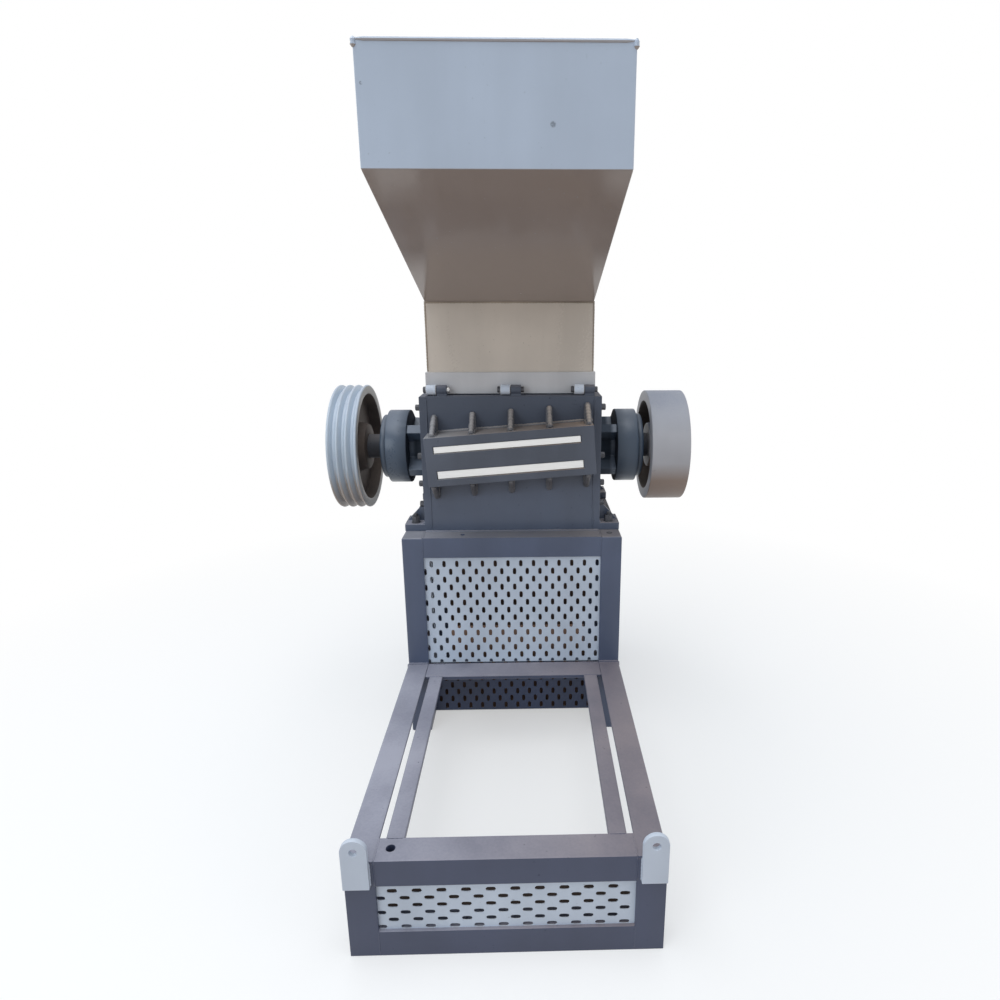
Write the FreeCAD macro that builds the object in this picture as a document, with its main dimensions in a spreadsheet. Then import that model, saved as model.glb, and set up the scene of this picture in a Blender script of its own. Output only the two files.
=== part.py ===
"""Plastic grinder: a welded motor base, a box pedestal, the cutting chamber with its
bearings, pulley and flywheel, and the feed hopper that is hinged on the chamber's front.

Millimetres, +Z up, +X to the flywheel side, +Y to the back. The origin is on the floor
under the machine's middle; sizes along Y are counted from the base's front face.
"""
import os
import re

import FreeCAD
import Part
from FreeCAD import Placement, Rotation, Vector

doc = FreeCAD.newDocument("plastic_grinder")
os.makedirs("parts", exist_ok=True)

# Driving sizes, one row of the sheet each: alias, value, what it is.
SIZES = [
    ("frame_w", 760, "outer width of the base and the pedestal"),
    ("member", 72, "side of the frame's square members"),
    ("flange", 8, "thickness of the rail angles"),
    ("base_h", 277, "height of the motor base"),
    ("base_l", 900, "base, front face to the pedestal's front face"),
    ("ped_h", 755, "height of the pedestal"),
    ("ped_back", 80, "pedestal behind the chamber's back face"),
    ("cross_w", 90, "width of the base's rear cross plate"),
    ("mrail_w", 45, "width of a motor rail"),
    ("mrail_t", 14, "thickness of the motor rails and the cross plate"),
    ("mrail_gap", 16, "slot between a side rail and its motor rail"),
    ("beam_hole_x", 275, "hole in the front beam, left of the middle"),
    ("beam_hole_y", 40, "the same hole, from the front face"),
    ("beam_hole_r", 11, "its radius"),
    ("seat_hole_x", 173, "bolt hole in the pedestal's front beam, left of the middle"),
    ("seat_hole_r", 8, "its radius"),
    ("seat_hole_l", 30, "its depth"),
    ("sheet_t", 3, "perforated sheet"),
    ("inset", 8, "set-back of the sheets from the frame's faces"),
    ("low_gap", 40, "floor to the lower pedestal sheet"),
    ("chute_top", 15, "upper edge of the flake chute below the pedestal's top"),
    ("chute_low", 100, "floor to the lower edge of the flake chute"),
    ("chute_t", 6, "thickness of the flake chute, along Y"),
    ("slot_w", 22, "width of a sheet's slots"),
    ("slot_len", 54, "length of a sheet's slots"),
    ("pitch_across", 66, "from slot to slot, across the slots"),
    ("pitch_along", 128, "from slot to slot, along the slots"),
    ("lug_w", 62, "lifting lug width"),
    ("lug_t", 12, "lifting lug thickness"),
    ("lug_down", 69, "lug below the base's top"),
    ("lug_up", 36, "lug hole above the base's top"),
    ("lug_hole_r", 10, "lug hole radius"),
    ("cham_w", 620, "outer width of the chamber"),
    ("cham_l", 520, "depth of the chamber"),
    ("cham_h", 475, "height of the chamber"),
    ("cham_set", 80, "chamber's front face behind the pedestal's"),
    ("side_t", 25, "chamber side plate"),
    ("wall_t", 28, "chamber front and back wall"),
    ("foot_t", 25, "thickness of the chamber's feet"),
    ("foot_l", 110, "depth of each of the chamber's four feet"),
    ("web_t", 12, "thickness of the foot webs"),
    ("web_h", 60, "height of the foot webs"),
    ("web_lip", 12, "width of a foot web's top"),
    ("web_set", 48, "foot web to the chamber's front or back face"),
    ("axis_up", 257, "rotor axis above the pedestal"),
    ("slant", 4.3, "slope of the knife beds, degrees"),
    ("bed_w", 562, "length of a knife bed"),
    ("bed_h", 166, "height of a knife bed"),
    ("bed_out", 100, "stand-out of a knife bed"),
    ("bed_t", 16, "plate of a knife bed"),
    ("bed_up", 32, "knife bed's middle above the rotor axis"),
    ("bed_slot_l", 490, "length of a knife bed's slots"),
    ("slot_high", 28, "upper slot above the bed's middle"),
    ("slot_high_t", 24, "its height"),
    ("slot_low", 59, "lower slot's lower edge below the bed's middle"),
    ("slot_low_t", 28, "its height"),
    ("rib_pitch", 130, "from rib to rib on a knife bed"),
    ("rib_t", 12, "rib thickness"),
    ("rib_out", 98, "stand-out of the ribs"),
    ("rib_high", 62, "height of the upper ribs"),
    ("rib_low", 66, "height of the lower ribs"),
    ("knife_t", 22, "bed knife thickness"),
    ("knife_end", 12, "the walls' knife slots beyond the bed's slots"),
    ("knife_set", 6, "bed knife and clamp bar behind the bed's face"),
    ("slide", 1, "side clearance of the bars in the bed's slots"),
    ("knife_gap", 5, "bed knife to the cutting circle"),
    ("shaft_r", 45, "rotor shaft radius"),
    ("run", 0.08, "running clearance on a radius"),
    ("room", 8, "clearance of the shaft in plates and covers"),
    ("drum_r", 104, "rotor body radius"),
    ("drum_gap", 10, "rotor body to a side plate"),
    ("cut_r", 150, "cutting circle radius"),
    ("seat_drop", 14, "knife seat inside the cutting circle"),
    ("seat_t", 46, "thickness of a knife seat"),
    ("blade_w", 78, "width of a rotor knife"),
    ("blade_t", 16, "thickness of a rotor knife"),
    ("screen_gap", 12, "screen outside the cutting circle"),
    ("screen_t", 10, "screen thickness"),
    ("screen_top", 60, "upper edges of the screen below the rotor axis"),
    ("house_r", 137, "bearing housing radius"),
    ("house_gap", 75, "bearing housing to the side plate"),
    ("house_len", 77, "length of a bearing housing"),
    ("sleeve_r", 70, "radius of the housing's sleeve"),
    ("pad_t", 10, "thickness of the housing's foot flange"),
    ("pad_drop", 8, "foot flange inside the housing's radius"),
    ("arm_t", 34, "thickness of the housing's ribs"),
    ("arm_turn", 38, "angle of the housing's ribs, degrees"),
    ("cover_r", 119, "bearing cover radius"),
    ("cover_t", 22, "bearing cover thickness"),
    ("pulley_r", 231, "belt pulley radius"),
    ("pulley_w", 105, "belt pulley width"),
    ("pulley_gap", 57, "belt pulley to its bearing cover"),
    ("groove", 20, "depth of a belt groove"),
    ("crest", 12, "width of the ridge between two grooves"),
    ("rim_t", 39, "belt pulley rim"),
    ("fly_r", 206, "flywheel radius"),
    ("fly_w", 138, "flywheel width"),
    ("fly_gap", 16, "flywheel to its bearing cover"),
    ("fly_rim_t", 42, "flywheel rim"),
    ("web_wheel", 22, "web of the two wheels"),
    ("hub_t", 40, "hub of the two wheels, outside the shaft"),
    ("cone", 6, "draft of the flywheel rim's inner faces"),
    ("hinge_set", 14, "hinge axis behind the chamber's front face"),
    ("hinge_up", 22, "hinge axis above the chamber"),
    ("hinge_r", 16, "hinge knuckle radius"),
    ("hinge_pitch", 250, "from hinge to hinge"),
    ("knuckle", 34, "length of a hinge knuckle"),
    ("leaf_t", 20, "thickness of a hinge leaf"),
    ("strip_t", 3, "thickness of the strip under the hinges"),
    ("pin_r", 8, "hinge pin radius"),
    ("pin_out", 8, "hinge pin beyond its knuckles"),
    ("gap", 6, "clearance round the moving hopper"),
    ("neck_w", 562, "outer width of the hopper neck"),
    ("neck_set", 36, "neck's back face before the chamber's"),
    ("neck_h", 308, "height of the neck's top above the chamber"),
    ("collar_t", 8, "thickness of the neck's foot collar"),
    ("collar_h", 72, "height of the foot collar"),
    ("skin", 5, "hopper sheet"),
    ("reach", 776, "hopper's front wall before the neck"),
    ("floor_h", 257, "rise of the sloping floor"),
    ("mouth_w", 572, "outer width of the hopper mouth"),
    ("mouth_h", 242, "height of the mouth's walls"),
]

# Places that follow from the driving sizes.
PLACES = {
    "cham_front": "(base_l + cham_set)",
    "cham_back": "(cham_front + cham_l)",
    "cham_top": "(ped_h + cham_h)",
    "ped_l": "(cham_set + cham_l + ped_back)",
    "axis_y": "(cham_front + cham_l / 2)",
    "axis_z": "(ped_h + axis_up)",
    "bed_z": "(axis_z + bed_up)",
    "bed_face": "(cham_front - bed_out)",
    "house_in": "(cham_w / 2 + house_gap)",
    "house_out": "(house_in + house_len)",
    "cover_out": "(house_out + cover_t)",
    "pulley_out": "(cover_out + pulley_gap + pulley_w)",
    "fly_in": "(cover_out + fly_gap)",
    "drum_l": "(cham_w - 2 * side_t - 2 * drum_gap)",
    "arm_l": "(2 * house_r - pad_drop)",
    "hinge_y": "(cham_front + hinge_set)",
    "hinge_z": "(cham_top + hinge_up)",
    "neck_front": "(hinge_y + hinge_r + gap + collar_t)",
    "neck_back": "(cham_back - neck_set)",
    "neck_low": "(cham_top + gap)",
    "neck_top": "(cham_top + neck_h)",
    "mouth_front": "(neck_front - reach)",
    "mouth_low": "(neck_top + floor_h)",
    "mid_y": "((max(cham_back + bed_out; base_l + ped_l) - lug_t) / 2)",
}

sheet = doc.addObject("Spreadsheet::Sheet", "Sizes")
size = {}
for row, (alias, value, note) in enumerate(SIZES, start=1):
    sheet.set(f"A{row}", note)
    sheet.set(f"B{row}", str(value))
    sheet.setAlias(f"B{row}", alias)
    size[alias] = value
doc.recompute()
pieces = []


def term(text):
    """An expression with its places written out and its sizes read from the sheet."""
    while any(re.search(rf"\b{name}\b", text) for name in PLACES):
        text = re.sub(r"\b(" + "|".join(PLACES) + r")\b", lambda found: PLACES[found.group()], text)
    return re.sub(r"\b(" + "|".join(size) + r")\b", lambda found: "Sizes." + found.group(), text)


def bind(obj, **terms):
    """Ties an object's numbers to the sheet: x, y and z are its place, the rest its properties."""
    for key, text in terms.items():
        if key == "y":
            text = f"{text} - mid_y"
        path = f".Placement.Base.{key}" if key in ("x", "y", "z") else key
        obj.setExpression(path, term(text))
    return obj


def block(name, x, y, z, dx, dy, dz):
    """A box from its low corner and its three sides."""
    return bind(doc.addObject("Part::Box", name), x=x, y=y, z=z, Length=dx, Width=dy, Height=dz)


def slanted(name, x, y, z, dx, dy, dz):
    """A box at the knife beds' slope; x and z are counted from the bed's middle, along its slope."""
    obj = doc.addObject("Part::Box", name)
    obj.Placement.Rotation = Rotation(Vector(0, -1, 0), size["slant"])
    obj.setExpression(".Placement.Rotation.Angle", term("slant"))
    return bind(obj, x=f"({x}) * cos(slant) - ({z}) * sin(slant)", y=y,
                z=f"bed_z + ({x}) * sin(slant) + ({z}) * cos(slant)", Length=dx, Width=dy, Height=dz)


def rod(name, x, y, z, radius, length):
    """A cylinder along X that starts at x."""
    obj = doc.addObject("Part::Cylinder", name)
    obj.Placement.Rotation = Rotation(Vector(0, 1, 0), 90)
    return bind(obj, x=x, y=y, z=z, Radius=radius, Height=length)


def upright(name, x, y, z, radius, length):
    """An upright cylinder that stands on z."""
    return bind(doc.addObject("Part::Cylinder", name), x=x, y=y, z=z, Radius=radius, Height=length)


def join(name, *objs):
    obj = doc.addObject("Part::MultiFuse", name)
    obj.Shapes = list(objs)
    obj.Refine = True
    return obj


def cut(name, base, tool):
    obj = doc.addObject("Part::Cut", name)
    obj.Base = base
    obj.Tool = tool
    return obj


def across(name, source):
    """The same piece on the other side of the machine."""
    obj = doc.addObject("Part::Mirroring", name)
    obj.Source = source
    obj.Normal = Vector(1, 0, 0)
    return obj


def behind(name, source):
    """The same piece on the other side of the rotor axis."""
    obj = doc.addObject("Part::Mirroring", name)
    obj.Source = source
    obj.Normal = Vector(0, 1, 0)
    return bind(obj, **{"Base.y": "axis_y - mid_y"})


def piece(obj):
    """Marks an object as a finished piece of the machine, which gets a file of its own."""
    pieces.append(obj)
    return obj


# Motor base: two angle rails from the pedestal to the front frame, which stands on the floor.
left = "-frame_w / 2"
right = "frame_w / 2 - member"
bars = [block("front_bottom_bar", left, "0", "0", "frame_w", "member", "member"),
        block("front_beam_bar", "member - frame_w / 2", "0", "base_h - member", "frame_w - 2 * member", "member",
              "member")]
for side, x, web in (("left", left, left), ("right", right, "frame_w / 2 - flange")):
    top = block(f"rail_top_{side}", x, "0", "base_h - flange", "member", "base_l", "flange")
    wall = block(f"rail_web_{side}", web, "member", "base_h - member", "flange", "base_l - member", "member")
    piece(join(f"side_rail_{side}", top, wall))
    bars.append(block(f"front_post_{side}", x, "0", "member", "member", "member", "base_h - member - flange"))
hole = upright("front_beam_hole", "-beam_hole_x", "beam_hole_y", "base_h - member - 1", "beam_hole_r", "member + 2")
piece(cut("front_frame", join("front_frame_blank", *bars), hole))

# Motor bed: two flat rails with slots beside them, and the plate that joins them at the pedestal.
bed = [block("cross_plate", "member - frame_w / 2", "base_l - cross_w", "base_h - mrail_t", "frame_w - 2 * member",
             "cross_w", "mrail_t")]
for side, x in (("left", "member + mrail_gap - frame_w / 2"),
                ("right", "frame_w / 2 - member - mrail_gap - mrail_w")):
    bed.append(block(f"motor_rail_{side}", x, "member", "base_h - mrail_t", "mrail_w",
                     "base_l - member - cross_w", "mrail_t"))
piece(join("motor_bed", *bed))

# Lifting lugs: upright plates with round tops on the frame's front face, flush with its sides.
for side, x in (("left", "-frame_w / 2"), ("right", "frame_w / 2 - lug_w")):
    plate = block(f"lug_plate_{side}", x, "-lug_t", "base_h - lug_down", "lug_w", "lug_t", "lug_down + lug_up")
    rounds = []
    for part, radius, y, length in (("head", "lug_w / 2", "0", "lug_t"),
                                    ("eye", "lug_hole_r", "1", "lug_t + 2")):
        disc = doc.addObject("Part::Cylinder", f"lug_{part}_{side}")
        disc.Placement.Rotation = Rotation(Vector(1, 0, 0), 90)
        bind(disc, x=x + " + lug_w / 2", y=y, z="base_h + lug_up", Radius=radius, Height=length)
        rounds.append(disc)
    piece(cut(f"lifting_lug_{side}", join(f"lug_blank_{side}", plate, rounds[0]), rounds[1]))

# Pedestal: two welded side frames joined by beams; their tops carry the chamber's feet.
far = "base_l + ped_l - member"
for side, x in (("left", left), ("right", right)):
    posts = [block(f"post_{end}_{side}", x, y, "0", "member", "member", "ped_h - member")
             for end, y in (("front", "base_l"), ("back", far))]
    beam = block(f"side_beam_{side}", x, "base_l", "ped_h - member", "member", "ped_l", "member")
    foot = block(f"foot_rail_{side}", x, "base_l + member", "0", "member", "ped_l - 2 * member", "member")
    piece(join(f"pedestal_side_{side}", *posts, beam, foot))
inner_x = "member - frame_w / 2"
inner_w = "frame_w - 2 * member"
beam = block("pedestal_front_bar", inner_x, "base_l", "ped_h - member", inner_w, "member", "member")
hole = upright("pedestal_front_hole", "-seat_hole_x", "base_l + member / 2", "ped_h - seat_hole_l", "seat_hole_r",
               "seat_hole_l + 1")
piece(cut("pedestal_beam_front", beam, hole))
piece(block("pedestal_beam_back", inner_x, far, "ped_h - member", inner_w, "member", "member"))
piece(block("pedestal_back_rail", inner_x, far, "base_h", inner_w, "member", "member"))

# Flake chute: a plate that slopes from the front beam down to the back, between the side frames.
chute = doc.addObject("Part::Wedge", "flake_chute")
chute.Placement.Rotation = Rotation(Vector(1, 0, 0), 90)
bind(chute, x="0", y="0", z="chute_low", Xmin="member - frame_w / 2", Xmax="frame_w / 2 - member",
     X2min="member - frame_w / 2", X2max="frame_w / 2 - member", Ymin="0", Ymax="ped_h - chute_top - chute_low",
     Zmin="member / 4 - base_l - ped_l", Zmax="member / 4 - base_l - ped_l + chute_t",
     Z2min="-base_l - member - chute_t", Z2max="-base_l - member")
piece(chute)


# Perforated sheets: in the base's front, and in the pedestal's front, lower front and sides.
def perforated(name, wide, tall, upright_slots, x, y, z, turn):
    """A sheet with staggered slots, wide by tall, turned about the vertical."""
    thick = size["sheet_t"]
    step = [size["pitch_across"], size["pitch_along"]]
    slot = [size["slot_w"], size["slot_len"]]
    if not upright_slots:
        step.reverse()
        slot.reverse()
    cols = int(wide / step[0])
    rows = int(tall / step[1])
    slots = []
    for i in range(cols):
        a = wide / 2 + (i - (cols - 1) / 2) * step[0] - slot[0] / 2
        for j in range(rows):
            shift = 0.2 if i % 2 else -0.2
            b = tall / 2 + (j - (rows - 1) / 2 + shift) * step[1] - slot[1] / 2
            slots.append(Part.makeBox(slot[0], thick + 2, slot[1], Vector(a, -1, b)))
    obj = doc.addObject("Part::Feature", name)
    obj.Shape = Part.makeBox(wide, thick, tall).cut(Part.makeCompound(slots))
    obj.Placement = Placement(Vector(), Rotation(Vector(0, 0, 1), turn))
    piece(bind(obj, x=x, y=y, z=z))


m = size["member"]
wide = size["frame_w"] - 2 * m
low = size["base_h"] - 2 * m
perforated("front_vent_panel", wide, low, False, inner_x, "inset", "member", 0)
perforated("pedestal_front_panel", wide, size["ped_h"] - m - size["base_h"], True, inner_x, "base_l + inset",
           "base_h", 0)
perforated("pedestal_low_panel", wide, size["base_h"] - size["mrail_t"] - size["low_gap"], True, inner_x,
           "base_l + member - sheet_t", "low_gap", 0)
for side, x in (("left", "inset + sheet_t - frame_w / 2"), ("right", "frame_w / 2 - inset")):
    perforated(f"pedestal_side_panel_{side}", size["cham_set"] + size["cham_l"] + size["ped_back"] - 2 * m,
               size["ped_h"] - 2 * m, True, x, "base_l + member", "member", 90)

# Chamber sides: thick plates, each with a foot and a web at both ends, bored for the shaft.
plate = block("side_plate_bar", "-cham_w / 2", "cham_front", "ped_h", "side_t", "cham_l", "cham_h")
feet = [block(f"foot_bar_{end}", "-frame_w / 2", y, "ped_h", "(frame_w - cham_w) / 2", "foot_l", "foot_t")
        for end, y in (("front", "cham_front"), ("back", "cham_back - foot_l"))]
webs = []
for end, y in (("front", "cham_front + web_set + web_t"), ("back", "cham_back - web_set")):
    web = doc.addObject("Part::Wedge", f"foot_web_{end}")
    web.Placement.Rotation = Rotation(Vector(1, 0, 0), 90)
    bind(web, x="-frame_w / 2", y=y, z="ped_h + foot_t", Xmin="2", Xmax="(frame_w - cham_w) / 2",
         X2min="(frame_w - cham_w) / 2 - web_lip", X2max="(frame_w - cham_w) / 2", Ymin="0", Ymax="web_h",
         Zmin="0", Zmax="web_t", Z2min="0", Z2max="web_t")
    webs.append(web)
bore = rod("side_plate_bore", "-cham_w / 2 - 1", "axis_y", "axis_z", "shaft_r + room", "side_t + 2")
side = piece(cut("chamber_side_left", join("side_plate_blank", plate, *feet, *webs), bore))
piece(across("chamber_side_right", side))

# Chamber walls: a slot at the beds' slope takes the bed knife; the front wall carries the hinges.
hinges = ("-hinge_pitch", "0", "hinge_pitch")
for end, y in (("front", "cham_front"), ("back", "cham_back - wall_t")):
    wall = block(f"wall_bar_{end}", "side_t - cham_w / 2", y, "ped_h", "cham_w - 2 * side_t", "wall_t", "cham_h")
    window = slanted(f"wall_window_{end}", "-bed_slot_l / 2 - knife_end", f"{y} - 1", "slot_high + slide",
                     "bed_slot_l + 2 * knife_end", "wall_t + 2", "knife_t + 4")
    if end == "back":
        piece(cut("chamber_wall_back", wall, window))
        continue
    knuckles = [block("hinge_strip", "-hinge_pitch - knuckle - 1", "hinge_y - leaf_t / 2", "cham_top",
                      "2 * hinge_pitch + 2 * knuckle + 2", "leaf_t", "strip_t")]
    for k, x in enumerate(hinges):
        knuckles.append(rod(f"fixed_knuckle_{k}", f"{x} + 1", "hinge_y", "hinge_z", "hinge_r", "knuckle"))
        knuckles.append(block(f"fixed_leaf_{k}", f"{x} + 1", "hinge_y - leaf_t / 2", "cham_top", "knuckle",
                              "leaf_t", "hinge_up"))
        knuckles.append(rod(f"hinge_pin_{k}", f"{x} - knuckle - pin_out", "hinge_y", "hinge_z", "pin_r",
                            "2 * knuckle + 2 * pin_out"))
    piece(join("chamber_wall_front", cut("wall_cut_front", wall, window), *knuckles))

# Knife beds: slanting hollow blocks with two slots in the face, five ribs above and five below.
body = slanted("bed_body", "-bed_w / 2", "bed_face", "-bed_h / 2", "bed_w", "bed_out", "bed_h")
voids = [slanted("bed_hollow", "bed_t - bed_w / 2", "bed_face + bed_t", "bed_t - bed_h / 2", "bed_w - 2 * bed_t",
                 "bed_out", "bed_h - 2 * bed_t"),
         slanted("bed_slot_high", "-bed_slot_l / 2 - 8", "bed_face - 1", "slot_high", "bed_slot_l", "bed_t + 2",
                 "slot_high_t"),
         slanted("bed_slot_low", "-bed_slot_l / 2 - 4", "bed_face - 1", "-slot_low", "bed_slot_l", "bed_t + 2",
                 "slot_low_t")]
ribs = []
for k in range(5):
    x = f"({k} - 2) * rib_pitch"
    for way, tall, turn, low, high in (("up", "rib_high", 90, ("0", "rib_out"), ("0", "bed_t / 2")),
                                       ("down", "rib_low", -90, ("-rib_out", "0"), ("-bed_t / 2", "0"))):
        edge = "(bed_h / 2 - bed_t / 2)" if way == "up" else "(bed_t / 2 - bed_h / 2)"
        rib = doc.addObject("Part::Wedge", f"rib_{way}_{k}")
        rib.Placement.Rotation = Rotation(Vector(1, 0, 0), turn)
        bind(rib, x=f"{x} - rib_t / 2", y="cham_front", z=f"bed_z + {edge} + {x} * tan(slant)", Xmin="0",
             Xmax="rib_t", X2min="0", X2max="rib_t", Ymin="0", Ymax=f"{tall} + bed_t / 2", Zmin=low[0],
             Zmax=low[1], Z2min=high[0], Z2max=high[1])
        ribs.append(rib)
front = piece(join("knife_bed_front", cut("bed_blank", body, join("bed_voids", *voids)), *ribs))
piece(behind("knife_bed_back", front))

# Bed knives: ground bars through the beds' upper slots, which lie in the walls' slots and reach to the
# cutting circle. Clamp bars fill the lower slots and end at the walls.
knife = piece(slanted("bed_knife_front", "slide - bed_slot_l / 2 - 8", "bed_face + knife_set", "slot_high + slide",
                      "bed_slot_l - 2 * slide", "cham_l / 2 + bed_out - knife_set - cut_r - knife_gap", "knife_t"))
piece(behind("bed_knife_back", knife))
bar = piece(slanted("clamp_bar_front", "slide - bed_slot_l / 2 - 4", "bed_face + knife_set", "slide - slot_low",
                    "bed_slot_l - 2 * slide", "bed_out - knife_set", "slot_low_t - 2 * slide"))
piece(behind("clamp_bar_back", bar))

# Screen: the curved sieve under the rotor.
inside = "side_t - cham_w / 2"
ring = cut("screen_ring",
           rod("screen_outside", inside, "axis_y", "axis_z", "cut_r + screen_gap + screen_t", "cham_w - 2 * side_t"),
           rod("screen_inside", f"{inside} - 1", "axis_y", "axis_z", "cut_r + screen_gap", "cham_w"))
upper = block("screen_upper", "-cham_w / 2", "axis_y - cham_l / 2", "axis_z - screen_top", "cham_w", "cham_l",
              "cham_h")
piece(cut("screen", ring, upper))

# Bearings: a round housing on a cross of ribs beside each side plate, and its cover.
solids = [rod("house_barrel", "-house_out", "axis_y", "axis_z", "house_r", "house_len"),
          rod("house_sleeve", "-house_in", "axis_y", "axis_z", "sleeve_r", "house_gap"),
          rod("house_pad", "-cham_w / 2 - pad_t", "axis_y", "axis_z", "house_r - pad_drop", "pad_t")]
for k, turn in enumerate(("arm_turn", "(180 - arm_turn)")):
    arm = doc.addObject("Part::Box", f"house_arms_{k}")
    arm.Placement.Rotation = Rotation(Vector(1, 0, 0), 90)
    arm.setExpression(".Placement.Rotation.Angle", term(turn))
    bind(arm, x="-house_in", y=f"axis_y - arm_l / 2 * cos({turn}) + arm_t / 2 * sin({turn})",
         z=f"axis_z - arm_l / 2 * sin({turn}) - arm_t / 2 * cos({turn})", Length="house_gap", Width="arm_l",
         Height="arm_t")
    solids.append(arm)
bore = rod("house_bore", "-house_out - 1", "axis_y", "axis_z", "shaft_r + run", "house_len + house_gap + 2")
side = piece(cut("bearing_housing_left", join("house_blank", *solids), bore))
piece(across("bearing_housing_right", side))
lid = rod("cover_disc", "-cover_out", "axis_y", "axis_z", "cover_r", "cover_t")
eye = rod("cover_eye", "-cover_out - 1", "axis_y", "axis_z", "shaft_r + room / 2", "cover_t + 2")
side = piece(cut("bearing_cover_left", lid, eye))
piece(across("bearing_cover_right", side))

# Rotor: the shaft, the body with its three knife seats, and three knives.
piece(rod("rotor_shaft", "-pulley_out", "axis_y", "axis_z", "shaft_r", "2 * pulley_out"))
drum = rod("drum_bar", "-drum_l / 2", "axis_y", "axis_z", "drum_r", "drum_l")
core = rod("drum_core", "-drum_l / 2 - 1", "axis_y", "axis_z", "shaft_r", "drum_l + 2")
seats = []
knives = []
for k in range(3):
    turn = 120 * k + 25
    for kind, y, z, dy, dz in (("knife_seat", "0", "-seat_t", "cut_r - seat_drop", "seat_t"),
                               ("rotor_knife", "(cut_r - blade_w - 1)", "0", "blade_w", "blade_t")):
        bar = doc.addObject("Part::Box", f"{kind}_{k + 1}")
        bar.Placement.Rotation = Rotation(Vector(1, 0, 0), turn)
        bind(bar, x="-drum_l / 2", y=f"axis_y + {y} * cos({turn}) - ({z}) * sin({turn})",
             z=f"axis_z + {y} * sin({turn}) + ({z}) * cos({turn})", Length="drum_l", Width=dy, Height=dz)
        if kind == "knife_seat":
            seats.append(bar)
        else:
            knives.append(piece(bar))
piece(cut("rotor_drum", cut("drum_bored", join("drum_blank", drum, *seats), core), join("knife_rooms", *knives)))


# Wheels on the shaft's ends: a belt pulley with three V grooves on the left, a heavy flywheel on the right.
def wheel(name, outline, x):
    """A turned wheel on the rotor axis, from its half outline as (along the shaft, radius) points."""
    points = [Vector(a, r, 0) for a, r in outline]
    face = Part.Face(Part.makePolygon(points + points[:1]))
    obj = doc.addObject("Part::Feature", name)
    obj.Shape = face.revolve(Vector(), Vector(1, 0, 0), 360)
    piece(bind(obj, x=x, y="axis_y", z="axis_z"))


bore_r = size["shaft_r"]
hub_r = bore_r + size["hub_t"]
r = size["pulley_r"]
w = size["pulley_w"]
rim_r = r - size["rim_t"]
web = ((w - size["web_wheel"]) / 2, (w + size["web_wheel"]) / 2)
crest = size["crest"]
pitch = (w - crest) / 3
outline = [(0, rim_r), (0, r)]
for k in range(3):
    a = crest + k * pitch
    outline += [(a, r), (a + (pitch - crest) / 2, r - size["groove"]), (a + pitch - crest, r)]
outline += [(w, r), (w, rim_r), (web[1], rim_r), (web[1], hub_r), (w, hub_r), (w, bore_r), (0, bore_r), (0, hub_r),
            (web[0], hub_r), (web[0], rim_r)]
wheel("belt_pulley", outline, "-pulley_out")
r = size["fly_r"]
w = size["fly_w"]
rim_r = r - size["fly_rim_t"]
low_r = rim_r - size["cone"]
web = ((w - size["web_wheel"]) / 2, (w + size["web_wheel"]) / 2)
wheel("flywheel", [(0, rim_r), (0, r), (w, r), (w, rim_r), (web[1], low_r), (web[1], hub_r), (w, hub_r), (w, bore_r),
                   (0, bore_r), (0, hub_r), (web[0], hub_r), (web[0], low_r)], "fly_in")

# Hopper: foot collar with its hinge knuckles, neck, sloping floor section, and the mouth's upright walls.
outer = block("collar_outside", "-neck_w / 2 - collar_t", "neck_front - collar_t", "neck_low",
              "neck_w + 2 * collar_t", "neck_back - neck_front + 2 * collar_t", "collar_h")
inner = block("collar_inside", "-neck_w / 2", "neck_front", "neck_low - 1", "neck_w", "neck_back - neck_front",
              "collar_h + 2")
knuckles = []
eyes = []
for k, x in enumerate(hinges):
    knuckles.append(rod(f"moving_knuckle_{k}", f"{x} - knuckle - 1", "hinge_y", "hinge_z", "hinge_r", "knuckle"))
    knuckles.append(block(f"moving_leaf_{k}", f"{x} - knuckle - 1", "hinge_y", "hinge_z - leaf_t / 2", "knuckle",
                          "neck_front - collar_t - hinge_y + 1", "leaf_t"))
    eyes.append(rod(f"pin_room_{k}", f"{x} - knuckle - 2", "hinge_y", "hinge_z", "pin_r + run", "knuckle + 2"))
collar = join("collar_blank", cut("collar_ring", outer, inner), *knuckles)
piece(cut("hopper_collar", collar, join("pin_rooms", *eyes)))
shells = [block(f"neck_shell_{k}", f"{t} - neck_w / 2", f"neck_front + {t}", f"neck_low - {k}",
                f"neck_w - 2 * {t}", f"neck_back - neck_front - 2 * {t}", f"neck_h - gap + {2 * k}")
          for k, t in enumerate(("0", "skin"))]
piece(cut("hopper_neck", *shells))
shells = []
for k, t in enumerate(("0", "skin")):
    shell = doc.addObject("Part::Wedge", f"floor_shell_{k}")
    shell.Placement.Rotation = Rotation(Vector(1, 0, 0), 90)
    bind(shell, x="0", y="0", z="neck_top", Xmin=f"{t} - neck_w / 2", Xmax=f"neck_w / 2 - {t}",
         X2min=f"{t} - mouth_w / 2", X2max=f"mouth_w / 2 - {t}", Ymin="0", Ymax="floor_h",
         Zmin=f"{t} - neck_back", Zmax=f"-neck_front - {t}", Z2min=f"{t} - neck_back",
         Z2max=f"-mouth_front - {t}")
    shells.append(shell)
piece(cut("hopper_floor", *shells))
shells = [block(f"mouth_shell_{k}", f"{t} - mouth_w / 2", f"mouth_front + {t}", f"mouth_low - {k}",
                f"mouth_w - 2 * {t}", f"neck_back - mouth_front - 2 * {t}", f"mouth_h + {2 * k}")
          for k, t in enumerate(("0", "skin"))]
piece(cut("hopper_mouth", *shells))

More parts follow.
